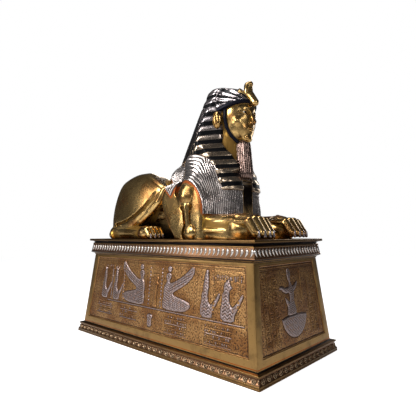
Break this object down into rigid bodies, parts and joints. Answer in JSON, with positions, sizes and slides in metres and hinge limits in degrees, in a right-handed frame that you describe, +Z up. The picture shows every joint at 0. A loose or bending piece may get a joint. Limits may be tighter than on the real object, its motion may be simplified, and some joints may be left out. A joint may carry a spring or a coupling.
{
  "type": "sphinx statue on plinth",
  "caption": "Recumbent sphinx with a striped royal headdress and long beard, on a battered rectangular plinth with relief panels and leafed mouldings.",
  "frame": {"origin": "centre of the plinth's underside", "axes": "+Z up, -Y the way the sphinx looks, +X to the sphinx's left"},
  "size_m": [0.726, 1.447, 1.458],
  "materials": {
    "plinth": "antiqued bronze-gold leaf over a cast body, brown in the hollows, pewter-grey relief figures",
    "sphinx": "burnished gold leaf over a cast body, red underneath at the edges, silver and black stripes on the cloth"
  },
  "bodies": {
    "root": {"plinth": "plinth", "sphinx": "sphinx"}
  },
  "joints": []
}
